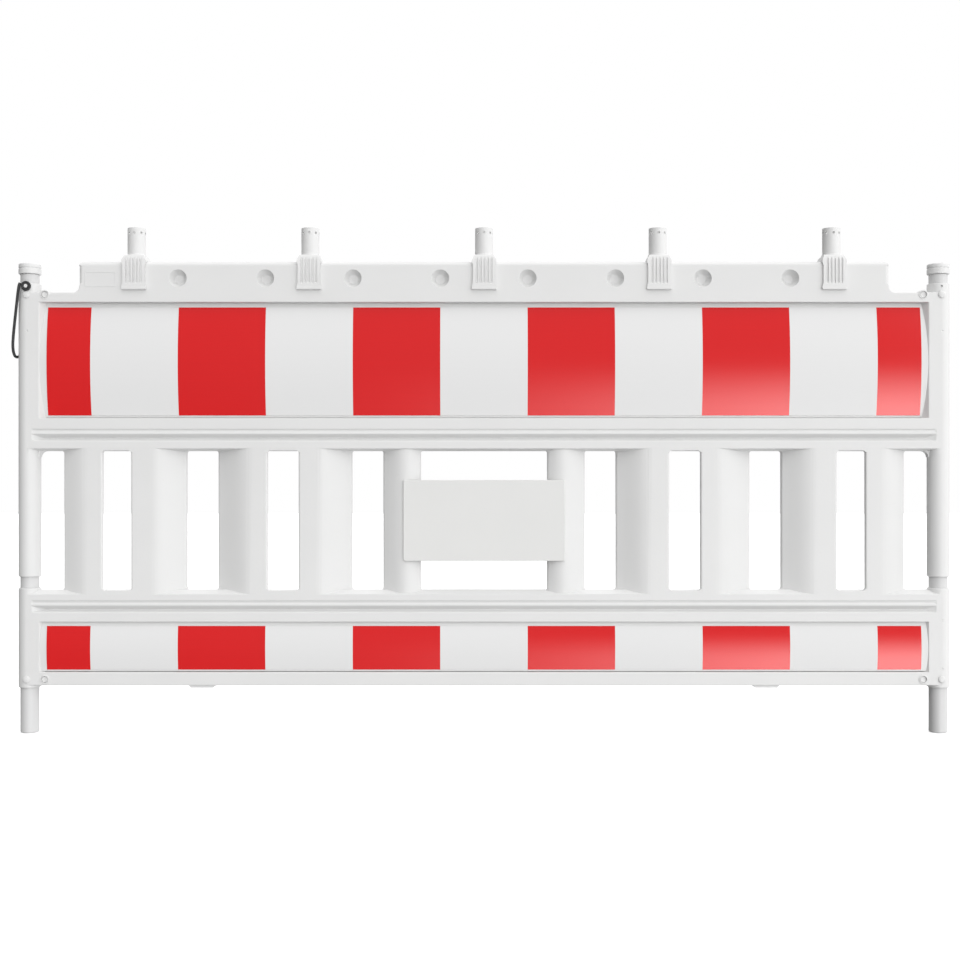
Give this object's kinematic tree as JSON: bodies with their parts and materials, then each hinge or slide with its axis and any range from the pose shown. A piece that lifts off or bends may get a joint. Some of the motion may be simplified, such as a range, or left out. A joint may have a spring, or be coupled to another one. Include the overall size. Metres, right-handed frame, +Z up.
{
  "type": "traffic barricade",
  "caption": "Two-metre white plastic traffic barricade with red and white boards, wavy windowed uprights, lamp adapters and turning foot tubes at both ends.",
  "frame": {"origin": "midway between the lower ends of the two foot tubes, where base plates hold them", "axes": "+X along the barricade to its right-hand end, -Y out of its front, +Z up"},
  "size_m": [2.1533, 0.0645, 1.159],
  "materials": {
    "shell": "satin white moulded polyethylene",
    "tube": "satin white extruded polyethylene tube",
    "board": "satin white moulded polyethylene",
    "sheeting": "glossy retroreflective sheeting with upright red and white blocks",
    "plate": "smooth satin light grey plastic",
    "plug": "satin white moulded plastic",
    "rubber": "matte black rubber"
  },
  "bodies": {
    "frame": {"bottom_rail": "shell", "corner_rivet_lower_left": "plug", "corner_rivet_lower_right": "plug", "corner_rivet_upper_left": "plug", "corner_rivet_upper_right": "plug", "hanging_loop": "rubber", "lamp_adapter_1": "shell", "lamp_adapter_2": "shell", "lamp_adapter_3": "shell", "lamp_adapter_4": "shell", "lamp_adapter_5": "shell", "lettering_plate_back": "plate", "lettering_plate_front": "plate", "loop_eye_back": "rubber", "loop_eye_front": "rubber", "loop_screw_back": "plug", "loop_screw_front": "plug", "lower_board": "board", "lower_mid_rail": "shell", "lower_plug_left_back": "plug", "lower_plug_left_front": "plug", "lower_plug_right_back": "plug", "lower_plug_right_front": "plug", "lower_sheeting_back": "sheeting", "lower_sheeting_front": "sheeting", "lower_sleeve_left": "shell", "lower_sleeve_right": "shell", "top_rail": "shell", "upper_board": "board", "upper_mid_rail": "shell", "upper_plug_left_back": "plug", "upper_plug_left_front": "plug", "upper_plug_right_back": "plug", "upper_plug_right_front": "plug", "upper_sheeting_back": "sheeting", "upper_sheeting_front": "sheeting", "upper_sleeve_left": "shell", "upper_sleeve_right": "shell", "upright_1": "shell", "upright_10": "shell", "upright_2": "shell", "upright_3": "shell", "upright_4": "shell", "upright_5": "shell", "upright_6": "shell", "upright_7": "shell", "upright_8": "shell", "upright_9": "shell"},
    "foot_left": {"foot_tube_left": "tube", "tube_cap_left": "shell"},
    "foot_right": {"foot_tube_right": "tube", "tube_cap_right": "shell"}
  },
  "joints": [
    {"name": "foot_left_turn", "type": "hinge", "parent": "frame", "child": "foot_left", "pos_m": [-1.046, 0, 0.5], "axis": [0, 0, 1], "continuous": true},
    {"name": "foot_right_turn", "type": "hinge", "parent": "frame", "child": "foot_right", "pos_m": [1.046, 0, 0.5], "axis": [0, 0, 1], "continuous": true}
  ]
}
